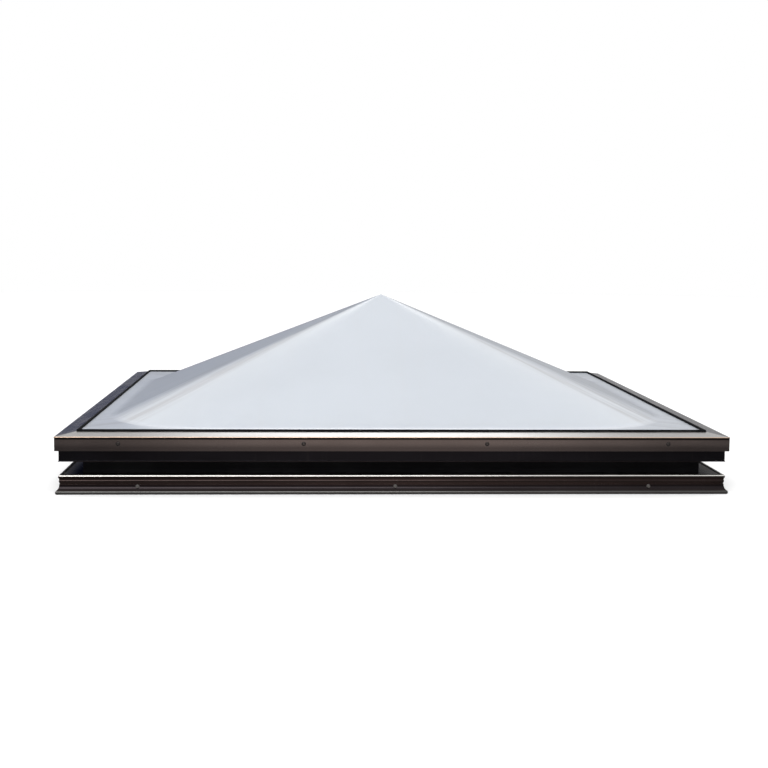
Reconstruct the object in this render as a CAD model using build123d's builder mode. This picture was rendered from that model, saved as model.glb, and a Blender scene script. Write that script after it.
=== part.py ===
"""Curb-mounted pyramid skylight: a double acrylic pyramid in a mitred, thermally broken aluminium frame.

The plan is square. X and Y run along the sides, Z is up, and the origin is at the centre of the
footprint, on the lowest edge of the base rails. Every rail is one extruded section, drawn outward
from the centre line in the plane across its side, and cut at 45 degrees where it meets its neighbours.
"""

from build123d import *
from math import atan2, cos, radians, sin, tan
import os

os.makedirs("parts", exist_ok=True)

# Plan sizes, as half widths from the centre
CAP_HALF = 645.0             # rounded nose along the cap's top edge, the widest line
CAP_FACE = 644.2             # outer face of the cap's leg, where its low screw heads sit
FOOT_HALF = 644.0            # nose of the base rail's drip foot
CURB_HALF = 634.0            # inside of the base leg, which laps down over the curb
BEAD_HALF = 638.8            # nose of the bead along the top of the base leg
WALL_OUT, WALL_IN = 598.0, 575.0    # faces of the thermal-break wall
TAPE_OUT, TAPE_IN = 628.0, 600.0    # edges of both glazing tapes
SKIRT_HALF = 637.5           # outside of the sash rail's skirt
SASH_BOX_HALF = 590.0        # inner face of the sash rail's box
GUTTER_HALF = 562.0          # inside of the condensation gutter
SIGHT_HALF = 608.0           # inner edge of the cap retainer

# Heights above the foot
SEAT_Z = 32.3                # underside of the base flange, on top of the curb
LEDGE_Z = 35.3               # top of the base flange
SASH_Z = 72.0                # underside of the sash rail, on top of the thermal break
GLAZING_Z = 99.0             # sash ledge that carries the glazing
CAP_Z = 111.0                # outer top edge of the cap
APEX_Z = 356.6               # where the outer slopes would meet, above the blunt tip

# Wall thicknesses
RAIL = 3.0
SHEET = 2.5
OUTER_ACRYLIC, INNER_ACRYLIC = 4.5, 3.0

# Base leg
LEG_OUT = CURB_HALF + RAIL
BEAD_R, BEAD_Z = 3.9, 33.4
RIDGE_LOW, RIDGE_HIGH, RIDGE_OUT = 23.0, 27.0, 0.6
GROOVE_LOW, GROOVE_HIGH, GROOVE_DEPTH = 19.2, 21.6, 0.9
COVE_Z, NOSE_Z = 17.5, 7.6   # where the cove leaves the leg, and where it meets the drip nose
COVE_R = 13.0                # hollow, so that it leaves the leg without a corner
NOSE_DROP = 2.5              # the nose stands this far out past both of its ends
SCREW_Z, SCREW_R, SCREW_PITCH = 14.5, 3.0, 490.0
FLANGE_LIP = 4.0

# Cap retainer
CAP_RISE = 6.0               # the top flange climbs this far towards the glass
CAP_DROP_Z = 83.5            # lower edge of the cap's leg
CAP_RIB_Z = 103.0
CAP_NOSE = 2.4               # height of the nose

# Sash rail
SKIRT_DROP_Z, SKIRT_TOP_Z, SKIRT_LIP = 62.6, 107.0, 1.0
GUTTER_Z, GUTTER_LIP_Z = 81.0, 90.0

# Glazing stack, from the sash ledge up
TAPE = 1.5
INNER_FLANGE_Z = GLAZING_Z + TAPE
SPACER_Z = INNER_FLANGE_Z + INNER_ACRYLIC
OUTER_FLANGE_Z = SPACER_Z + TAPE
FLANGE_TOP_Z = OUTER_FLANGE_Z + OUTER_ACRYLIC
FLANGE_HALF = 630.0          # edge of both acrylic flanges, with room to expand inside the skirt
FLANGE_CORNER_R = 12.0

# Moulded acrylic: each sheet steps up from its clamped flange to a shelf, where its pyramid stands
SHELF_HALF, SHELF_Z = 604.0, 116.0
INNER_SHELF_HALF, INNER_SHELF_Z = 590.0, 107.0
SHELF_CORNER_R = 5.0
PYRAMID_HALF = 572.5         # foot of the outer pyramid on its shelf
INNER_HALF = 569.0           # foot of the inner pyramid on its shelf
INNER_APEX_Z = 322.0
TIP = 0.6                    # moulding leaves each apex blunt by this much
HIP_SHARE = 0.425            # share of a half side, from its corner, that the soft hip takes up
BEND_R = 40.0                # sweep of the moulded bend between shelf and slope

# Gasket that fills the gap between the step of the outer sheet and the cap, with a bulb on top
BULB_R = (SIGHT_HALF - SHELF_HALF) / 2
BULB_Z = 118.5
GASKET_FOOT, GASKET_FOOT_HIGH = 12.0, 2.0

SIDES = {"front": -90.0, "right": 0.0, "back": 90.0, "left": 180.0}


def section_plane(angle):
    """The plane across one side: x runs outward from the centre and y runs up."""
    out = (cos(radians(angle)), sin(radians(angle)), 0)
    along = (sin(radians(angle)), -cos(radians(angle)), 0)
    return Plane(origin=(0, 0, 0), x_dir=out, z_dir=along)


def mitre_planes(angle):
    """The two upright planes at 45 degrees that end a rail."""
    for turn in (-45.0, 45.0):
        heading = radians(angle + turn)
        yield Plane(origin=(0, 0, 0), z_dir=(cos(heading), sin(heading), 0))


def facing_plane(angle, distance, height):
    """An upright plane that faces outward on one side, with its origin at the side's middle."""
    across = section_plane(angle)
    return Plane(
        origin=across.x_dir * distance + Vector(0, 0, height),
        x_dir=across.z_dir,
        z_dir=across.x_dir,
    )


def extrude_rail(angle):
    """Extrudes the pending section to both sides and mitres its ends."""
    extrude(amount=CAP_HALF, both=True)
    for plane in mitre_planes(angle):
        split(bisect_by=plane, keep=Keep.TOP)


def finish(part, name):
    """Labels a finished piece and writes it."""
    part.label = name
    export_step(part, f"parts/{name}.step")


def base_rail(side, angle):
    """Base flange and leg, with the bead, ridge, groove and the cove that flares to the drip foot."""
    nose_x = FOOT_HALF - NOSE_DROP
    ridge_x = LEG_OUT + RIDGE_OUT
    with BuildPart() as rail:
        with BuildSketch(section_plane(angle)):
            with BuildLine():
                Polyline((LEG_OUT, RIDGE_LOW), (LEG_OUT, COVE_Z))
                RadiusArc((LEG_OUT, COVE_Z), (nose_x, NOSE_Z), -COVE_R)
                ThreePointArc((nose_x, NOSE_Z), (FOOT_HALF, NOSE_Z / 2), (nose_x, 0))
                Polyline(
                    (nose_x, 0), (CURB_HALF, 0), (CURB_HALF, SEAT_Z), (WALL_IN, SEAT_Z),
                    (WALL_IN, LEDGE_Z), (LEG_OUT, LEDGE_Z), (LEG_OUT, RIDGE_HIGH),
                )
                ThreePointArc(
                    (LEG_OUT, RIDGE_HIGH), (ridge_x, (RIDGE_LOW + RIDGE_HIGH) / 2), (LEG_OUT, RIDGE_LOW)
                )
            make_face()
            with Locations((BEAD_HALF - BEAD_R, BEAD_Z)):
                Circle(BEAD_R)
            with Locations((LEG_OUT, (GROOVE_LOW + GROOVE_HIGH) / 2)):
                Rectangle(2 * GROOVE_DEPTH, GROOVE_HIGH - GROOVE_LOW, mode=Mode.SUBTRACT)
            with Locations((WALL_IN - SHEET / 2, SEAT_Z)):
                Rectangle(SHEET, RAIL + FLANGE_LIP, align=(Align.CENTER, Align.MIN))
        extrude_rail(angle)
        with BuildSketch(facing_plane(angle, CURB_HALF - 1, SCREW_Z)):
            with GridLocations(SCREW_PITCH, 1, 3, 1):
                Circle(SCREW_R)
        extrude(amount=FOOT_HALF, mode=Mode.SUBTRACT)
    finish(rail.part, f"base_{side}")


def break_wall(side, angle):
    """Hollow two-chamber thermal break that stands on the base flange and carries the sash."""
    with BuildPart() as wall:
        with BuildSketch(section_plane(angle)):
            with Locations(((WALL_IN + WALL_OUT) / 2, LEDGE_Z)):
                Rectangle(WALL_OUT - WALL_IN, SASH_Z - LEDGE_Z, align=(Align.CENTER, Align.MIN))
            chamber = ((SASH_Z - LEDGE_Z) - 3 * SHEET) / 2
            with Locations(((WALL_IN + WALL_OUT) / 2, (LEDGE_Z + SASH_Z) / 2)):
                with GridLocations(1, chamber + SHEET, 1, 2):
                    Rectangle(WALL_OUT - WALL_IN - 2 * SHEET, chamber, mode=Mode.SUBTRACT)
        extrude_rail(angle)
    finish(wall.part, f"thermal_break_{side}")


def sash_rail(side, angle):
    """Box rail with the skirt outside, the glazing ledge on top and the condensation gutter inside."""
    with BuildPart() as rail:
        with BuildSketch(section_plane(angle)):
            with BuildLine():
                Polyline(
                    (WALL_IN, SASH_Z), (SKIRT_HALF - SHEET, SASH_Z),
                    (SKIRT_HALF - SHEET, SKIRT_DROP_Z), (SKIRT_HALF + SKIRT_LIP, SKIRT_DROP_Z),
                    (SKIRT_HALF + SKIRT_LIP, SKIRT_DROP_Z + SKIRT_LIP),
                    (SKIRT_HALF, SKIRT_DROP_Z + 2 * SKIRT_LIP), (SKIRT_HALF, SKIRT_TOP_Z),
                    (SKIRT_HALF - SHEET, SKIRT_TOP_Z), (SKIRT_HALF - SHEET, GLAZING_Z),
                    (SASH_BOX_HALF, GLAZING_Z), (SASH_BOX_HALF, GUTTER_Z + SHEET),
                    (GUTTER_HALF + SHEET, GUTTER_Z + SHEET), (GUTTER_HALF + SHEET, GUTTER_LIP_Z),
                    (GUTTER_HALF, GUTTER_LIP_Z), (GUTTER_HALF, GUTTER_Z),
                    (SASH_BOX_HALF, GUTTER_Z), (SASH_BOX_HALF, SASH_Z + SHEET), (WALL_IN, SASH_Z + SHEET),
                    close=True,
                )
            make_face()
            with BuildLine():
                Polyline(
                    (SASH_BOX_HALF + SHEET, SASH_Z + SHEET), (SKIRT_HALF - SHEET, SASH_Z + SHEET),
                    (SKIRT_HALF - SHEET, GLAZING_Z - SHEET), (SASH_BOX_HALF + SHEET, GLAZING_Z - SHEET),
                    close=True,
                )
            make_face(mode=Mode.SUBTRACT)
        extrude_rail(angle)
    finish(rail.part, f"sash_{side}")


def cap_rail(side, angle):
    """Retainer with a nosed top flange that climbs to the glass, an outer leg and two ribs inside."""
    crest = CAP_Z + CAP_RISE
    with BuildPart() as cap:
        with BuildSketch(section_plane(angle)):
            with BuildLine():
                ThreePointArc(
                    (CAP_FACE, CAP_Z - CAP_NOSE), (CAP_HALF, CAP_Z - CAP_NOSE / 2), (CAP_FACE, CAP_Z)
                )
                Polyline(
                    (CAP_FACE, CAP_Z), (SIGHT_HALF, crest), (SIGHT_HALF, crest - SHEET),
                    (CAP_FACE - SHEET, CAP_Z - SHEET), (CAP_FACE - SHEET, CAP_DROP_Z + SHEET),
                    (SKIRT_HALF, CAP_DROP_Z + SHEET), (SKIRT_HALF, CAP_DROP_Z),
                    (CAP_FACE, CAP_DROP_Z), (CAP_FACE, CAP_Z - CAP_NOSE),
                )
            make_face()
            with Locations((SKIRT_HALF, CAP_RIB_Z)):
                Rectangle(CAP_FACE - SHEET - SKIRT_HALF, SHEET, align=(Align.MIN, Align.CENTER))
        extrude_rail(angle)
    finish(cap.part, f"cap_{side}")


def tape(name, side, angle, low):
    """A flat foam tape along one side, with its underside at height low."""
    with BuildPart() as band:
        with BuildSketch(section_plane(angle)):
            with Locations((TAPE_IN, low)):
                Rectangle(TAPE_OUT - TAPE_IN, TAPE, align=(Align.MIN, Align.MIN))
        extrude_rail(angle)
    finish(band.part, f"{name}_{side}")


def cap_gasket(side, angle):
    """Gasket on the clamped flange: a foot under the cap, a stem between cap and acrylic, and a bulb."""
    with BuildPart() as gasket:
        with BuildSketch(section_plane(angle)):
            with Locations((SHELF_HALF + BULB_R, BULB_Z)):
                Circle(BULB_R)
            with Locations((SHELF_HALF, FLANGE_TOP_Z)):
                Rectangle(2 * BULB_R, BULB_Z - FLANGE_TOP_Z, align=(Align.MIN, Align.MIN))
                Rectangle(GASKET_FOOT, GASKET_FOOT_HIGH, align=(Align.MIN, Align.MIN))
        extrude_rail(angle)
    finish(gasket.part, f"cap_gasket_{side}")


def pyramid(half, base_z, apex_z):
    """Solid pyramid: four flat slopes, a cone at each hip that touches them on both sides, a blunt tip."""
    rise = apex_z - base_z
    corner = half * HIP_SHARE
    slope = atan2(rise, half)
    slope_normal = Vector(sin(slope), 0, cos(slope))
    touch_line = Vector(half, half - corner, -rise)
    cone_angle = atan2(corner, touch_line.length * sin(slope))
    cone_axis = touch_line.normalized() * cos(cone_angle) - slope_normal * sin(cone_angle)
    chord_normal = Vector(rise, rise, 2 * half - corner)
    apex = Vector(0, 0, apex_z)
    with BuildPart() as body:
        with Locations((0, 0, base_z)):
            Box(2 * half, 2 * half, rise, align=(Align.CENTER, Align.CENTER, Align.MIN))
        for turn in range(0, 360, 90):
            for normal in (slope_normal, chord_normal):
                cut = Plane(origin=apex, z_dir=normal.rotate(Axis.Z, turn))
                split(bisect_by=cut, keep=Keep.BOTTOM)
        for turn in range(0, 360, 90):
            with Locations(Plane(origin=apex, z_dir=-cone_axis.rotate(Axis.Z, turn))):
                Cone(
                    half * tan(cone_angle) * 1.2, 0, half * 1.2,
                    align=(Align.CENTER, Align.CENTER, Align.MAX),
                )
        split(bisect_by=Plane.XY.offset(base_z), keep=Keep.TOP)
        split(bisect_by=Plane.XY.offset(apex_z - TIP), keep=Keep.BOTTOM)
    return body.part


def plate(half, corner, low, high):
    """Adds a flat square plate with rounded corners to the part being built."""
    with BuildSketch(Plane.XY.offset(low)) as outline:
        RectangleRounded(2 * half, 2 * half, corner)
    extrude(outline.sketch, amount=high - low)


def glazing(name, flange_z, thickness, shelf_half, shelf_z, half, apex_z):
    """Acrylic of one thickness: clamped flange, step, shelf, swept bend, four slopes and soft hips."""
    slope = atan2(apex_z - shelf_z, half)
    under_z = shelf_z - thickness
    under_half = half - thickness * (1 / cos(slope) - 1) / tan(slope)
    outside = pyramid(half, shelf_z, apex_z)
    inside = pyramid(under_half, under_z, apex_z - thickness / cos(slope))
    with BuildPart() as hollow:
        plate(shelf_half - thickness, SHELF_CORNER_R, flange_z, under_z)
        add(inside)
    with BuildPart() as shell:
        plate(FLANGE_HALF, FLANGE_CORNER_R, flange_z, flange_z + thickness)
        plate(shelf_half, SHELF_CORNER_R, flange_z, shelf_z)
        add(outside)
        shelf = shell.faces().filter_by(Plane.XY).group_by(Axis.Z)[-2].face()
        fillet(shelf.inner_wires()[0].edges(), BEND_R)
        add(hollow.part, mode=Mode.SUBTRACT)
    finish(shell.part, name)


for side, angle in SIDES.items():
    base_rail(side, angle)
    break_wall(side, angle)
    sash_rail(side, angle)
    tape("inner_tape", side, angle, GLAZING_Z)
    tape("spacer_tape", side, angle, SPACER_Z)
    cap_gasket(side, angle)
    cap_rail(side, angle)

glazing("outer_pyramid", OUTER_FLANGE_Z, OUTER_ACRYLIC, SHELF_HALF, SHELF_Z, PYRAMID_HALF, APEX_Z)
glazing(
    "inner_pyramid", INNER_FLANGE_Z, INNER_ACRYLIC,
    INNER_SHELF_HALF, INNER_SHELF_Z, INNER_HALF, INNER_APEX_Z,
)
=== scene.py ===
"""Looks of the pyramid skylight: finishes of its frame, seals and acrylic, its screws, and the studio.

model.glb gives every piece its place. The plan is square, so what is made for the front side is turned
by quarter turns for the other three.
"""

import math

import bmesh
import bpy
from mathutils import Matrix, Vector


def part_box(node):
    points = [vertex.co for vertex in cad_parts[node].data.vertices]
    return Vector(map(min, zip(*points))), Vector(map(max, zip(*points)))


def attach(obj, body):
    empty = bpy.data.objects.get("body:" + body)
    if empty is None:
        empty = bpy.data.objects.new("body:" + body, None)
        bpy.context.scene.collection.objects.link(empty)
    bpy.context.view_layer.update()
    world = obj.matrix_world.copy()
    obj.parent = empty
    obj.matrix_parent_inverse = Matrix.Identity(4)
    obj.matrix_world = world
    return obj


bl_info = {
    "name": "Pyramid Skylight",
    "version": (1, 0, 0),
    "blender": (4, 5, 0),
    "location": "3D View > Sidebar > Skylight",
    "description": "Finishes, screws and studio for a curb-mounted pyramid skylight",
    "category": "Object",
}

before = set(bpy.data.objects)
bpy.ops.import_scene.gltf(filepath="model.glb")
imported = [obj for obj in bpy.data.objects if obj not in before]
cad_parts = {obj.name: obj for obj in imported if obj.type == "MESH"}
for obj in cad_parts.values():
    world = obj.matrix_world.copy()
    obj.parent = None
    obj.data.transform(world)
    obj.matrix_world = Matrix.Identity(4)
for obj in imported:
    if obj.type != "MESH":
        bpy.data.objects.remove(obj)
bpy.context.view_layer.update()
MM = 0.001

# Turn from the front to each side, in degrees, and the axis that the side's rails run along
TURNS = {"front": 0.0, "right": 90.0, "back": 180.0, "left": 270.0}
RUNS = {"front": "X", "right": "Y", "back": "X", "left": "Y"}

# The cap's outermost and lowest lines, from its solid
CAP_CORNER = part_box("cap_front")[0]
CAP_OUT = -CAP_CORNER[1]
CAP_LOW = CAP_CORNER[2]
CAP_FACE = CAP_OUT - 0.8 * MM       # the leg's face stands this far inside the nose

# Heights above the foot
CAP_EDGE = 111.0 * MM               # the cap's nose
UNDER_EDGE = CAP_EDGE - 3.6 * MM    # the painted shadow line under it
BEAD_CREST = 36.0 * MM              # the bead's brightest line
COVE_MIDDLE = 13.0 * MM
FOOT_MIDDLE = 3.5 * MM
LIP = 63.2 * MM                     # the lip under the sash rail's skirt
SHELF = 116.0 * MM                  # the acrylic shelf that the pyramid stands on

# Screws along one side, and how their heads are made
CAP_SCREWS = 4
CURB_SCREWS = 3
ROUND = 24                          # facets of what is turned
FLATS = 6                           # sides of a hexagon head
CRISP_ANGLE = math.radians(35.0)    # edges sharper than this stay crisp

# Large soft light in front, aimed at the middle of the foot
KEY_SIZE = (3.0, 2.0)
KEY_PLACE = Vector((-0.8, -4.6, 3.0))

# Azimuth from +Y to the right, elevation and radius of each glow in the sky, in degrees, and its light
BACK_GLOW_AIM, BACK_GLOW_LIGHT = (3.0, 26.5, 10.5), (3.1, 3.1, 3.1)
FRONT_GLOW_AIM, FRONT_GLOW_LIGHT = (176.7, -8.0, 13.0), (1.3, 1.08, 1.0)

# Sockets of a Mix node that mixes colours
MIX_FACTOR, MIX_A, MIX_B, MIX_RESULT = 0, 6, 7, 2


class Wire:
    """An output socket that adds Math nodes when it's used in an expression."""

    def __init__(self, graph, socket):
        self.graph = graph
        self.socket = socket

    def math(self, operation, first, second):
        return self.graph.node("ShaderNodeMath", {"operation": operation}, {0: first, 1: second})

    def __add__(self, other):
        return self.math("ADD", self, other)

    def __radd__(self, other):
        return self.math("ADD", other, self)

    def __sub__(self, other):
        return self.math("SUBTRACT", self, other)

    def __rsub__(self, other):
        return self.math("SUBTRACT", other, self)

    def __mul__(self, other):
        return self.math("MULTIPLY", self, other)

    def __rmul__(self, other):
        return self.math("MULTIPLY", other, self)

    def __abs__(self):
        return self.math("ABSOLUTE", self, 0.0)


class Graph:
    """The nodes of one material or world."""

    def __init__(self, owner):
        owner.use_nodes = True
        self.tree = owner.node_tree
        self.tree.nodes.clear()

    def node(self, kind, settings=None, sockets=None, output=0):
        """Adds a node, with its settings first, and returns one of its outputs."""
        made = self.tree.nodes.new(kind)
        for name, value in (settings or {}).items():
            setattr(made, name, value)
        for name, value in (sockets or {}).items():
            if isinstance(value, Wire):
                self.tree.links.new(value.socket, made.inputs[name])
            else:
                made.inputs[name].default_value = value
        return Wire(self, made.outputs[output]) if len(made.outputs) else None

    def axes(self, vector):
        """The three numbers of a vector."""
        split = self.node("ShaderNodeSeparateXYZ", sockets={0: vector}).socket.node
        return [Wire(self, socket) for socket in split.outputs]

    def vector(self, x, y, z):
        return self.node("ShaderNodeCombineXYZ", sockets={0: x, 1: y, 2: z})

    def place(self):
        """The object's own coordinates, as three numbers in metres."""
        return self.axes(self.node("ShaderNodeTexCoord", output="Object"))

    def up(self):
        """How far a face looks up, from -1 to 1."""
        return self.axes(self.node("ShaderNodeNewGeometry", output="Normal"))[2]

    def noise(self, vector, scale=1.0, detail=3.0, roughness=0.5):
        return self.node(
            "ShaderNodeTexNoise", None,
            {"Vector": vector, "Scale": scale, "Detail": detail, "Roughness": roughness},
        )

    def rise(self, value, low, high):
        """Goes smoothly from 0 to 1 as value goes from low to high. Low may be the larger one."""
        return self.node(
            "ShaderNodeMapRange", {"interpolation_type": "SMOOTHSTEP"},
            {"Value": value, "From Min": low, "From Max": high},
        )

    def lobe(self, direction, azimuth, elevation, radius):
        """1 towards one point of the sky, and 0 from radius away. All three are in degrees."""
        azimuth, elevation = math.radians(azimuth), math.radians(elevation)
        flat = math.cos(elevation)
        aim = (flat * math.sin(azimuth), flat * math.cos(azimuth), math.sin(elevation))
        near = self.node(
            "ShaderNodeVectorMath", {"operation": "DOT_PRODUCT"}, {0: direction, 1: aim}, "Value",
        )
        return self.rise(near, math.cos(math.radians(radius)), 1.0)

    def blend(self, mask, low, high):
        """The colour low where mask is 0 and high where it is 1."""
        sockets = {MIX_FACTOR: mask}
        for index, value in ((MIX_A, low), (MIX_B, high)):
            sockets[index] = value if isinstance(value, Wire) else (*value, 1.0)
        return self.node("ShaderNodeMix", {"data_type": "RGBA"}, sockets, MIX_RESULT)

    def bump(self, height, strength, distance, normal=None):
        """Raises a surface by height times distance, over its own normal or another one."""
        sockets = {"Height": height, "Strength": strength, "Distance": distance}
        if normal is not None:
            sockets["Normal"] = normal
        return self.node("ShaderNodeBump", None, sockets)

    def surface(self, **sockets):
        """Ends a material with one Principled shader. Words in socket names are joined by underscores."""
        named = {name.replace("_", " "): value for name, value in sockets.items()}
        shader = self.node("ShaderNodeBsdfPrincipled", None, named)
        self.node("ShaderNodeOutputMaterial", None, {"Surface": shader})


def new_material(name):
    material = bpy.data.materials.new(name)
    return material, Graph(material)


def shade(colour, share):
    """The same colour, darker or lighter."""
    return tuple(channel * share for channel in colour)


def paint(node, material):
    """Gives a carried-over node its finish."""
    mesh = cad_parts[node].data
    mesh.materials.clear()
    mesh.materials.append(material)


class SkylightFinish(bpy.types.PropertyGroup):
    """Colours of the skylight's finishes."""

    cap: bpy.props.FloatVectorProperty(
        name="Cap", description="Bronze anodised colour of the cap retainers",
        subtype="COLOR", default=(0.082, 0.070, 0.066), min=0.0, max=1.0,
    )
    # A painted highlight: the nose's warm line stands for light caught on its rounded edge
    cap_nose_highlight: bpy.props.FloatVectorProperty(
        name="Cap edge", description="Warm metal where the nose of the cap is rubbed",
        subtype="COLOR", default=(0.60, 0.44, 0.33), min=0.0, max=1.0,
    )
    base: bpy.props.FloatVectorProperty(
        name="Base", description="Bronze anodised colour of the base rails",
        subtype="COLOR", default=(0.022, 0.015, 0.014), min=0.0, max=1.0,
    )
    # A painted highlight: the bead's pale line stands for the sky mirrored in it
    bead_highlight: bpy.props.FloatVectorProperty(
        name="Bead", description="Pale metal where the bead of the base rail is rubbed",
        subtype="COLOR", default=(0.62, 0.61, 0.58), min=0.0, max=1.0,
    )
    # A painted light: the foot's grey stands for light bounced onto it from the floor
    foot: bpy.props.FloatVectorProperty(
        name="Foot", description="Greyed metal of the base rail's drip foot",
        subtype="COLOR", default=(0.095, 0.098, 0.095), min=0.0, max=1.0,
    )
    # A painted shade: the sash rails' bronze is darkened near black for the shade under the cap
    sash: bpy.props.FloatVectorProperty(
        name="Sash", description="Colour of the darker sash rails",
        subtype="COLOR", default=(0.008, 0.008, 0.010), min=0.0, max=1.0,
    )
    dust: bpy.props.FloatVectorProperty(
        name="Dust", description="Colour of the dust that lies on the rails",
        subtype="COLOR", default=(0.30, 0.29, 0.27), min=0.0, max=1.0,
    )
    acrylic: bpy.props.FloatVectorProperty(
        name="Acrylic", description="Colour of the outer pyramid's milky acrylic",
        subtype="COLOR", default=(0.438, 0.468, 0.510), min=0.0, max=1.0,
    )
    rubber: bpy.props.FloatVectorProperty(
        name="Rubber", description="Colour of the gaskets and tapes",
        subtype="COLOR", default=(0.004, 0.004, 0.005), min=0.0, max=1.0,
    )


class SkylightScrews(bpy.types.PropertyGroup):
    """Sizes and places of the screws."""

    cap_height: bpy.props.FloatProperty(
        name="Cap screw height", description="Height of the cap screws above the foot",
        unit="LENGTH", default=97.6 * MM,
    )
    cap_pitch: bpy.props.FloatProperty(
        name="Cap screw pitch", description="Distance between neighbouring cap screws",
        unit="LENGTH", default=350.0 * MM,
    )
    cap_radius: bpy.props.FloatProperty(
        name="Cap screw radius", description="Radius of a low cap screw's head",
        unit="LENGTH", default=3.4 * MM,
    )
    curb_height: bpy.props.FloatProperty(
        name="Curb screw height", description="Height of the curb screws above the foot",
        unit="LENGTH", default=14.5 * MM,
    )
    curb_pitch: bpy.props.FloatProperty(
        name="Curb screw pitch", description="Distance between neighbouring curb screws",
        unit="LENGTH", default=490.0 * MM,
    )
    curb_face: bpy.props.FloatProperty(
        name="Curb screw seat", description="Distance of the base leg's outer face from the centre",
        unit="LENGTH", default=637.0 * MM,
    )
    curb_radius: bpy.props.FloatProperty(
        name="Curb screw radius", description="Radius of the flange of a curb screw's head",
        unit="LENGTH", default=4.0 * MM,
    )


class SkylightStudio(bpy.types.PropertyGroup):
    """Camera, floor and light."""

    camera_place: bpy.props.FloatVectorProperty(
        name="Camera", description="Place of the camera, found from the frame's corners in the photograph",
        subtype="TRANSLATION", unit="LENGTH", default=(-0.158, -3.3424, 0.4915),
    )
    camera_yaw: bpy.props.FloatProperty(
        name="Yaw", description="Turn of the view to the right of the Y axis",
        subtype="ANGLE", default=math.radians(2.857),
    )
    camera_pitch: bpy.props.FloatProperty(
        name="Pitch", description="Tilt of the view below the horizon",
        subtype="ANGLE", default=math.radians(5.898),
    )
    camera_roll: bpy.props.FloatProperty(
        name="Roll", description="Turn of the camera about its own view",
        subtype="ANGLE", default=math.radians(0.45),
    )
    camera_lens: bpy.props.FloatProperty(
        name="Lens", description="Focal length in millimetres, for a sensor 36 mm wide", default=67.18,
    )
    floor_radius: bpy.props.FloatProperty(
        name="Floor", description="Radius of the floor", unit="LENGTH", default=9.0,
    )
    floor_tone: bpy.props.FloatProperty(
        name="Floor tone", description="How pale the floor is",
        subtype="FACTOR", default=0.95, min=0.0, max=1.0,
    )
    sky: bpy.props.FloatProperty(
        name="Sky", description="Strength of the soft light from all around", default=1.25, min=0.0,
    )
    back_glow: bpy.props.FloatProperty(
        name="Back glow", description="Brighter patch of sky behind, which the front cap mirrors",
        subtype="FACTOR", default=1.0, min=0.0, max=1.0,
    )
    front_glow: bpy.props.FloatProperty(
        name="Front glow", description="Brighter patch in front, which the cap's face mirrors",
        subtype="FACTOR", default=1.0, min=0.0, max=1.0,
    )
    key: bpy.props.FloatProperty(
        name="Key", description="Power of the large soft light in front",
        unit="POWER", default=130.0, min=0.0,
    )


def bronze_material(name, colour, run, coat, bleach_and_sky_light, rim, bands):
    """Anodised aluminium with die lines, faint stains and dust, and level bands of painted light and
    shade.

    The faces that look up are paler, for weathering and as a painted sky light, and rim is the tint at a
    glancing look. Each band has a height, a reach above and below it, a strength and a colour, and the
    clear coat is gone there.
    """
    dust_colour = tuple(bpy.context.scene.skylight_finish.dust)
    bleached_and_sky_lit, open_seam = (0.30, 0.29, 0.28), (0.004, 0.004, 0.004)
    material, graph = new_material(name)
    x, y, z = graph.place()
    along, across = (x, y) if run == "X" else (y, x)
    die_lines = graph.noise(graph.vector(along * 1.5, across * 900.0, z * 900.0), detail=2.0)
    stains = graph.noise(graph.vector(along * 9.0, across * 30.0, z * 30.0), detail=4.0)
    drips = graph.noise(graph.vector(along * 260.0, across * 12.0, z * 12.0), detail=3.0)
    speckle = graph.noise(graph.vector(x, y, z), scale=900.0, detail=2.0)
    lying = graph.rise(graph.up(), 0.75, 0.98)
    dust = lying * graph.rise(stains + speckle * 0.5, 0.6, 1.0) * 0.06
    runs = (1.0 - lying) * graph.rise(drips, 0.60, 0.80) * 0.02
    seam = graph.rise(abs(abs(x) - abs(y)), 0.8 * MM, 0.3 * MM)
    metal = graph.blend(graph.rise(stains, 0.3, 0.7), shade(colour, 0.85), shade(colour, 1.15))
    # Faces that look up are paler: weathering, and a painted sky light that is strongest on the cap tops
    metal = graph.blend(lying * bleach_and_sky_light, metal, bleached_and_sky_lit)
    worn_and_painted = dust + seam
    # Each band paints light or shade in a level strip: highlights, shadow lines and shade
    for height, reach, strength, tint in bands:
        band = (1.0 - lying) * graph.rise(abs(z - height), reach, reach * 0.3) * strength
        metal = graph.blend(band * (0.75 + stains * 0.5), metal, tint)
        worn_and_painted = worn_and_painted + band
    metal = graph.blend(seam * 0.8, metal, open_seam)
    soft_edges = graph.node("ShaderNodeBevel", {"samples": 4}, {"Radius": 0.5 * MM})
    graph.surface(
        Base_Color=graph.blend(dust + runs, metal, dust_colour),
        Metallic=0.94 - dust - runs,
        Roughness=0.18 + stains * 0.10 + die_lines * 0.05 + dust * 0.5,
        Coat_Weight=graph.rise(worn_and_painted, 0.9, 0.0) * coat,
        Coat_Roughness=0.12,
        Specular_Tint=(rim, rim, rim, 1.0),
        Normal=graph.bump(die_lines * 0.7 + speckle * 0.3, 0.15, 0.1 * MM, soft_edges),
    )
    return material


def break_material():
    """Black extruded plastic with faint lines and dull marks."""
    black, worn_black = (0.003, 0.003, 0.004), (0.008, 0.008, 0.009)
    material, graph = new_material("black extruded plastic")
    x, y, z = graph.place()
    lines = graph.noise(graph.vector(x * 6.0, y * 6.0, z * 700.0), detail=2.0)
    marks = graph.noise(graph.vector(x, y, z), scale=14.0, detail=4.0)
    graph.surface(
        Base_Color=graph.blend(graph.rise(marks, 0.35, 0.75), black, worn_black),
        Roughness=0.5 + marks * 0.2,
        Specular_IOR_Level=0.12,
        Normal=graph.bump(lines, 0.2, 0.2 * MM),
    )
    return material


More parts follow.
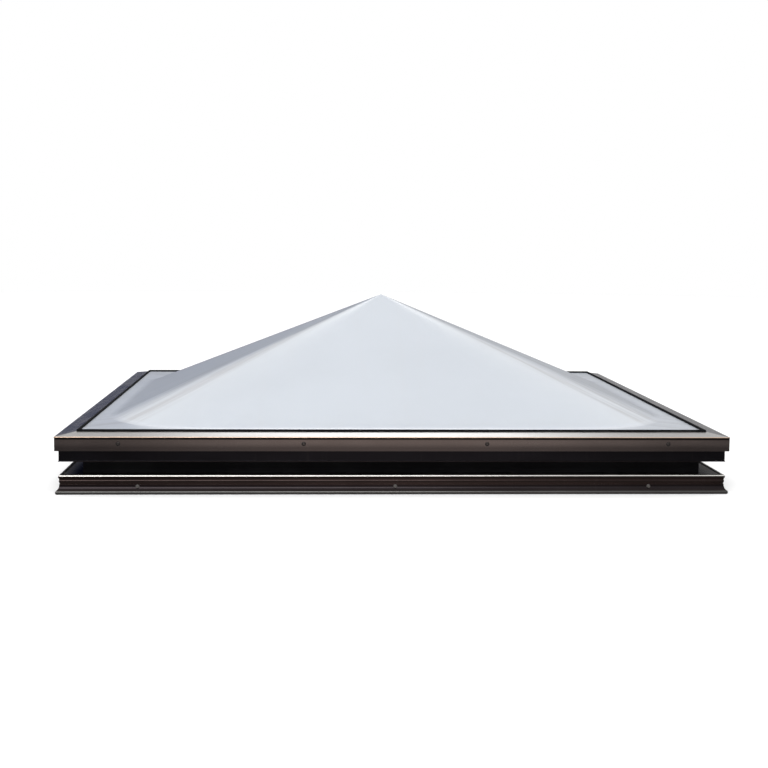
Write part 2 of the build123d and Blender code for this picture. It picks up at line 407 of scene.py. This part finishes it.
def rubber_material(name, grain):
    """Black rubber or foam, with its grain and a faint bloom of grey."""
    rubber, grey = tuple(bpy.context.scene.skylight_finish.rubber), (0.010, 0.010, 0.011)
    material, graph = new_material(name)
    x, y, z = graph.place()
    grains = graph.noise(graph.vector(x, y, z), scale=grain, detail=2.0)
    bloom = graph.noise(graph.vector(x, y, z), scale=25.0, detail=4.0)
    graph.surface(
        Base_Color=graph.blend(graph.rise(bloom, 0.45, 0.85), rubber, grey),
        Roughness=0.7 + grains * 0.2,
        Specular_IOR_Level=0.05,
        Normal=graph.bump(grains, 0.3, 0.3 * MM),
    )
    return material


def acrylic_material():
    """Milky acrylic: mottled, with faint rain streaks down the slopes.

    The slopes that look left and right carry painted shade and faint folds beside their hips. The shelf is
    paler, and a little dust lies on and near it.
    """
    colour = tuple(bpy.context.scene.skylight_finish.acrylic)
    rain_grey, painted_shade, fold_shadow = (0.42, 0.42, 0.42), (0.20, 0.195, 0.19), (0.25, 0.235, 0.225)
    fold_light, pale_shelf, dust_grey = (0.70, 0.70, 0.70), (0.46, 0.49, 0.55), (0.40, 0.39, 0.37)
    material, graph = new_material("milky acrylic")
    x, y, z = graph.place()
    point = graph.vector(x, y, z)
    past_hip = abs(x) - abs(y)
    above_shelf = z - SHELF
    mottle = graph.noise(point, scale=4.0, detail=4.0)

    # Streaks run down the slope that they are on
    front_or_back = graph.rise(past_hip, 0.04, -0.04)
    front_streaks = graph.noise(graph.vector(x * 45.0, y * 1.2, z * 1.2), detail=4.0)
    side_streaks = graph.noise(graph.vector(x * 1.2, y * 45.0, z * 1.2), detail=4.0)
    streaks = front_streaks * front_or_back + side_streaks * (1.0 - front_or_back)

    # Folds, painted with shadow and light, and a painted shade run along the hips
    fold_space = graph.vector((abs(y) + abs(x)) * 1.5 + x, past_hip * 24.0, x + y * 2.0 + 5.3)
    folds = graph.noise(fold_space, detail=4.0, roughness=0.6)
    from_hip = graph.rise(past_hip, -0.01, 0.03)
    folded = from_hip * graph.rise(past_hip, 0.34, 0.10) * graph.rise(above_shelf, 0.20, 0.04)
    hip_shade = from_hip * graph.rise(past_hip, 0.12, 0.04) * graph.rise(folds, 0.25, 0.65)
    on_slope = graph.rise(above_shelf, 0.002, 0.012)
    specks = graph.noise(point, scale=18.0, detail=5.0)
    dusty = graph.rise(above_shelf, 0.03, 0.0) * graph.rise(specks, 0.45, 0.9)

    white = graph.blend(graph.rise(mottle, 0.3, 0.7), colour, shade(colour, 0.96))
    white = graph.blend(graph.rise(streaks, 0.5, 0.8) * 0.07, white, rain_grey)
    # Painted shade beside the hips, over the light that they catch
    white = graph.blend(hip_shade * 0.26, white, painted_shade)
    white = graph.blend(folded * graph.rise(folds, 0.42, 0.64) * 0.34, white, fold_shadow)
    white = graph.blend(folded * on_slope * graph.rise(folds, 0.44, 0.34) * 0.08, white, fold_light)
    white = graph.blend(graph.rise(above_shelf, 0.006, 0.001) * 0.4, white, pale_shelf)
    white = graph.blend(dusty * 0.15, white, dust_grey)
    graph.surface(
        Base_Color=white,
        Roughness=0.18 + mottle * 0.05 + streaks * 0.04,
        IOR=1.49,
        Subsurface_Weight=0.15,
        Subsurface_Radius=(8.0 * MM, 8.0 * MM, 9.0 * MM),
        Subsurface_Scale=1.0,
        Normal=graph.bump(mottle * 0.3 + folded * on_slope * folds * 0.6, 0.15, 2.0 * MM),
    )
    return material


def clear_material():
    """Clear acrylic with a faint haze."""
    clear, hazy = (0.95, 0.97, 0.98), (0.88, 0.91, 0.92)
    material, graph = new_material("clear acrylic")
    x, y, z = graph.place()
    haze = graph.noise(graph.vector(x, y, z), scale=7.0, detail=4.0)
    graph.surface(
        Base_Color=graph.blend(graph.rise(haze, 0.3, 0.7), clear, hazy),
        Roughness=0.03 + haze * 0.05,
        IOR=1.49,
        Transmission_Weight=0.9,
        Normal=graph.bump(haze, 0.1, 1.0 * MM),
    )
    return material


def screw_material(name, colour, dullness):
    """Plated steel, a little scratched and rusty."""
    rust_brown = (0.16, 0.07, 0.03)
    material, graph = new_material(name)
    x, y, z = graph.place()
    point = graph.vector(x, y, z)
    wear = graph.noise(point, scale=600.0, detail=3.0)
    rust = graph.rise(graph.noise(point, scale=260.0, detail=4.0), 0.62, 0.78)
    plating = graph.blend(wear, shade(colour, 0.7), colour)
    graph.surface(
        Base_Color=graph.blend(rust * 0.6, plating, rust_brown),
        Metallic=0.95 - rust * 0.6,
        Roughness=dullness + wear * 0.15 + rust * 0.4,
        Normal=graph.bump(wear, 0.3, 0.1 * MM),
    )
    return material


def lathe(mesh, profile, segments, matrix):
    """Turns a profile of radius and height pairs about its axis into the mesh. A radius of 0 closes it."""
    rings = []
    for radius, height in profile:
        if radius == 0:
            rings.append([mesh.verts.new(matrix @ Vector((0, 0, height)))])
            continue
        ring = []
        for step in range(segments):
            angle = 2 * math.pi * step / segments
            point = Vector((radius * math.cos(angle), radius * math.sin(angle), height))
            ring.append(mesh.verts.new(matrix @ point))
        rings.append(ring)
    for low, high in zip(rings, rings[1:]):
        for step in range(segments):
            after = (step + 1) % segments
            if len(low) == 1:
                mesh.faces.new((low[0], high[after], high[step]))
            elif len(high) == 1:
                mesh.faces.new((low[step], low[after], high[0]))
            else:
                mesh.faces.new((low[step], low[after], high[after], high[step]))


def piece(name, mesh, material):
    """Makes a piece of the object from a finished bmesh, shaded smooth but for its sharp edges."""
    bmesh.ops.recalc_face_normals(mesh, faces=mesh.faces)
    data = bpy.data.meshes.new(name)
    mesh.to_mesh(data)
    mesh.free()
    for polygon in data.polygons:
        polygon.use_smooth = True
    data.set_sharp_from_angle(angle=CRISP_ANGLE)
    data.materials.append(material)
    made = bpy.data.objects.new(name, data)
    bpy.context.scene.collection.objects.link(made)
    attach(made, "root")


def outward(side, along, distance, height):
    """Matrix of a spot on one side, whose Z looks outward."""
    turn = Matrix.Rotation(math.radians(TURNS[side]), 4, "Z")
    spot = Matrix.Translation((along, -distance, height))
    return turn @ spot @ Matrix.Rotation(math.radians(90.0), 4, "X")


class SKYLIGHT_OT_rails(bpy.types.Operator):
    """Gives the base rails, sash rails and cap retainers their anodised finish."""

    bl_idname = "skylight.rails"
    bl_label = "Rails"

    def execute(self, context):
        finish = context.scene.skylight_finish
        cap, base, sash = tuple(finish.cap), tuple(finish.base), tuple(finish.sash)
        # A near-black painted shadow under the cap's nose
        painted_shade = (0.003, 0.002, 0.002)
        # Each band: height, reach above and below, strength, colour
        # The cap's bands are painted: shade down the leg towards its lower edge, a shadow line under the
        # nose and a highlight on the nose
        cap_bands = [
            (CAP_LOW, 17.0 * MM, 0.5, sash),
            (UNDER_EDGE, 2.8 * MM, 0.95, painted_shade),
            (CAP_EDGE, 1.8 * MM, 0.9, tuple(finish.cap_nose_highlight)),
        ]
        # The base's bands are painted: shade in the cove, bounce light on the foot and a highlight along
        # the bead
        base_bands = [
            (COVE_MIDDLE, 7.0 * MM, 0.6, sash),
            (FOOT_MIDDLE, 5.0 * MM, 0.6, tuple(finish.foot)),
            (BEAD_CREST, 1.8 * MM, 0.9, tuple(finish.bead_highlight)),
        ]
        # A painted highlight along the lip of the sash rail's skirt
        sash_bands = [(LIP, 0.8 * MM, 0.5, base)]
        for run in ("X", "Y"):
            rails = {
                "cap": bronze_material(
                    f"cap bronze {run}", cap, run, coat=0.5, bleach_and_sky_light=0.55, rim=0.8, bands=cap_bands,
                ),
                "base": bronze_material(
                    f"base bronze {run}", base, run, coat=0.06, bleach_and_sky_light=0.1, rim=0.35, bands=base_bands,
                ),
                # The sash rails' bronze, darkened as a painted shade
                "sash": bronze_material(
                    f"shade-painted bronze {run}", sash, run, coat=0.0, bleach_and_sky_light=0.1, rim=0.6, bands=sash_bands,
                ),
            }
            for side in TURNS:
                if RUNS[side] == run:
                    for kind, bronze in rails.items():
                        paint(f"{kind}_{side}", bronze)
        return {"FINISHED"}


class SKYLIGHT_OT_seals(bpy.types.Operator):
    """Gives the thermal breaks, tapes and gaskets their black plastic and rubber."""

    bl_idname = "skylight.seals"
    bl_label = "Thermal breaks and seals"

    def execute(self, context):
        plastic = break_material()
        rubber = rubber_material("gasket rubber", grain=1500.0)
        foam = rubber_material("foam tape", grain=700.0)
        for side in TURNS:
            paint(f"thermal_break_{side}", plastic)
            paint(f"cap_gasket_{side}", rubber)
            paint(f"inner_tape_{side}", foam)
            paint(f"spacer_tape_{side}", foam)
        return {"FINISHED"}


class SKYLIGHT_OT_glazing(bpy.types.Operator):
    """Gives the two moulded pyramids their acrylic."""

    bl_idname = "skylight.glazing"
    bl_label = "Glazing"

    def execute(self, context):
        paint("outer_pyramid", acrylic_material())
        paint("inner_pyramid", clear_material())
        return {"FINISHED"}


class SKYLIGHT_OT_cap_screws(bpy.types.Operator):
    """Makes the low-headed screws, with their sealing washers, along each cap retainer."""

    bl_idname = "skylight.cap_screws"
    bl_label = "Cap screws"

    def execute(self, context):
        sizes = context.scene.skylight_screws
        radius = sizes.cap_radius
        steel = screw_material("dark plated steel", (0.05, 0.046, 0.045), dullness=0.35)
        rubber = rubber_material("sealing washer", grain=2500.0)
        # Shank, flat underside, low crown, and a recess for the driver
        head = [
            (0, -2.0 * MM), (0.5 * radius, -2.0 * MM), (0.5 * radius, 0.25 * MM), (radius, 0.25 * MM),
            (radius, 0.45 * MM), (0.85 * radius, 0.65 * MM), (0.5 * radius, 0.74 * MM),
            (0.3 * radius, 0.74 * MM), (0.26 * radius, -0.6 * MM), (0, -0.8 * MM),
        ]
        washer = [
            (0.5 * radius, -0.2 * MM), (1.2 * radius, -0.2 * MM), (1.2 * radius, 0.15 * MM),
            (1.1 * radius, 0.28 * MM), (0.5 * radius, 0.28 * MM),
        ]
        for side in TURNS:
            heads, washers = bmesh.new(), bmesh.new()
            for number in range(CAP_SCREWS):
                along = (number - (CAP_SCREWS - 1) / 2) * sizes.cap_pitch
                spot = outward(side, along, CAP_FACE, sizes.cap_height)
                lathe(heads, head, ROUND, spot)
                lathe(washers, washer, ROUND, spot)
            piece(f"cap_screws_{side}", heads, steel)
            piece(f"cap_washers_{side}", washers, rubber)
        return {"FINISHED"}


class SKYLIGHT_OT_curb_screws(bpy.types.Operator):
    """Makes the hexagon screws with flanged heads along each base rail."""

    bl_idname = "skylight.curb_screws"
    bl_label = "Curb screws"

    def execute(self, context):
        sizes = context.scene.skylight_screws
        radius = sizes.curb_radius
        steel = screw_material("bright plated steel", (0.17, 0.165, 0.16), dullness=0.32)
        # Shank and flange, and the hexagon that stands on it
        flange = [
            (0, -2.0 * MM), (0.6 * radius, -2.0 * MM), (0.6 * radius, 0), (radius, 0),
            (radius, 0.5 * MM), (0.9 * radius, 0.9 * MM), (0.5 * radius, 1.1 * MM), (0, 1.1 * MM),
        ]
        hexagon = [
            (0, 1.0 * MM), (0.74 * radius, 1.0 * MM), (0.74 * radius, 2.8 * MM),
            (0.62 * radius, 3.3 * MM), (0.2 * radius, 3.3 * MM), (0, 3.2 * MM),
        ]
        for side in TURNS:
            screws = bmesh.new()
            for number in range(CURB_SCREWS):
                along = (number - (CURB_SCREWS - 1) / 2) * sizes.curb_pitch
                spot = outward(side, along, sizes.curb_face, sizes.curb_height)
                lathe(screws, flange, ROUND, spot)
                lathe(screws, hexagon, FLATS, spot)
            piece(f"curb_screws_{side}", screws, steel)
        return {"FINISHED"}


class SKYLIGHT_OT_studio(bpy.types.Operator):
    """Makes the camera, the pale floor and the soft light."""

    bl_idname = "skylight.studio"
    bl_label = "Studio"

    def execute(self, context):
        studio = context.scene.skylight_studio
        context.scene.view_settings.view_transform = "Standard"
        self.camera(context, studio)
        self.floor(context, studio)
        self.sky(context, studio)
        self.key_light(context, studio)
        return {"FINISHED"}

    @staticmethod
    def camera(context, studio):
        """Looks along yaw and pitch, then turns by the roll."""
        data = bpy.data.cameras.new("camera")
        data.sensor_width = 36.0
        data.lens = studio.camera_lens
        camera = bpy.data.objects.new("camera", data)
        pitched = Matrix.Rotation(math.radians(90.0) - studio.camera_pitch, 4, "X")
        turned = Matrix.Rotation(-studio.camera_yaw, 4, "Z") @ pitched
        rolled = turned @ Matrix.Rotation(studio.camera_roll, 4, "Z")
        camera.matrix_world = Matrix.Translation(studio.camera_place) @ rolled
        context.scene.collection.objects.link(camera)
        context.scene.camera = camera

    @staticmethod
    def floor(context, studio):
        """A pale round floor that the gloss of the rails doesn't mirror."""
        mesh = bmesh.new()
        bmesh.ops.create_circle(mesh, cap_ends=True, segments=96, radius=studio.floor_radius)
        data = bpy.data.meshes.new("floor")
        mesh.to_mesh(data)
        mesh.free()
        material, graph = new_material("pale floor")
        x, y, z = graph.place()
        grain = graph.noise(graph.vector(x, y, z), scale=3.0, detail=4.0)
        tone = studio.floor_tone
        graph.surface(
            Base_Color=graph.blend(grain, (tone, tone, tone), (tone * 0.985, tone * 0.985, tone * 0.98)),
            Roughness=0.9,
            Specular_IOR_Level=0.1,
        )
        data.materials.append(material)
        floor = bpy.data.objects.new("floor", data)
        context.scene.collection.objects.link(floor)
        floor.visible_glossy = False

    @staticmethod
    def sky(context, studio):
        """White behind the object; for its light, a bright sky, dim horizon and ground, and two glows."""
        low_ground, deep_ground = (0.19, 0.18, 0.18), (0.50, 0.50, 0.48)
        left_horizon, right_horizon = (0.01, 0.02, 0.07), (0.24, 0.24, 0.25)
        white = (1.0, 1.0, 1.0)
        world = bpy.data.worlds.new("studio")
        context.scene.world = world
        graph = Graph(world)
        direction = graph.node("ShaderNodeTexCoord", output="Generated")
        axes = graph.axes(direction)
        right, height = axes[0], axes[2]
        ground = graph.blend(graph.rise(height, -0.25, -0.60), low_ground, deep_ground)
        horizon = graph.blend(graph.rise(right, -0.15, 0.25), left_horizon, right_horizon)
        low = graph.blend(graph.rise(height, -0.08, 0.0), ground, horizon)
        lit = graph.blend(graph.rise(height, 0.10, 0.42), low, white)
        behind = graph.lobe(direction, *BACK_GLOW_AIM)
        before = graph.lobe(direction, *FRONT_GLOW_AIM)
        lit = graph.blend(behind * studio.back_glow, lit, BACK_GLOW_LIGHT)
        lit = graph.blend(before * studio.front_glow, lit, FRONT_GLOW_LIGHT)
        seen = graph.node("ShaderNodeLightPath", output="Is Camera Ray")
        light = graph.node("ShaderNodeBackground", None, {"Color": lit, "Strength": studio.sky})
        backdrop = graph.node("ShaderNodeBackground", None, {"Color": (*white, 1.0)})
        both = graph.node("ShaderNodeMixShader", None, {0: seen, 1: light, 2: backdrop})
        graph.node("ShaderNodeOutputWorld", None, {"Surface": both})

    @staticmethod
    def key_light(context, studio):
        """A large soft light in front, which lifts the front slope over the others."""
        data = bpy.data.lights.new("key light", "AREA")
        data.shape = "RECTANGLE"
        data.size, data.size_y = KEY_SIZE
        data.energy = studio.key
        light = bpy.data.objects.new("key light", data)
        light.location = KEY_PLACE
        light.rotation_euler = (-KEY_PLACE).to_track_quat("-Z", "Y").to_euler()
        context.scene.collection.objects.link(light)


OPERATORS = (
    SKYLIGHT_OT_rails,
    SKYLIGHT_OT_seals,
    SKYLIGHT_OT_glazing,
    SKYLIGHT_OT_cap_screws,
    SKYLIGHT_OT_curb_screws,
    SKYLIGHT_OT_studio,
)
GROUPS = {
    "skylight_finish": SkylightFinish,
    "skylight_screws": SkylightScrews,
    "skylight_studio": SkylightStudio,
}


class SKYLIGHT_PT_panel(bpy.types.Panel):
    """Lists the skylight's pieces and the studio, then their colours, sizes and settings."""

    bl_label = "Pyramid Skylight"
    bl_space_type = "VIEW_3D"
    bl_region_type = "UI"
    bl_category = "Skylight"

    def draw(self, context):
        for operator in OPERATORS:
            self.layout.operator(operator.bl_idname)
        for name, group in GROUPS.items():
            box = self.layout.box()
            for setting in group.__annotations__:
                box.prop(getattr(context.scene, name), setting)


CLASSES = (*GROUPS.values(), *OPERATORS, SKYLIGHT_PT_panel)


def register():
    for cls in CLASSES:
        bpy.utils.register_class(cls)
    for name, group in GROUPS.items():
        setattr(bpy.types.Scene, name, bpy.props.PointerProperty(type=group))


def unregister():
    for name in GROUPS:
        delattr(bpy.types.Scene, name)
    for cls in reversed(CLASSES):
        bpy.utils.unregister_class(cls)


def main():
    """Makes every piece in order."""
    register()
    bpy.ops.skylight.rails()
    bpy.ops.skylight.seals()
    bpy.ops.skylight.glazing()
    bpy.ops.skylight.cap_screws()
    bpy.ops.skylight.curb_screws()
    bpy.ops.skylight.studio()


if __name__ == "__main__":
    main()
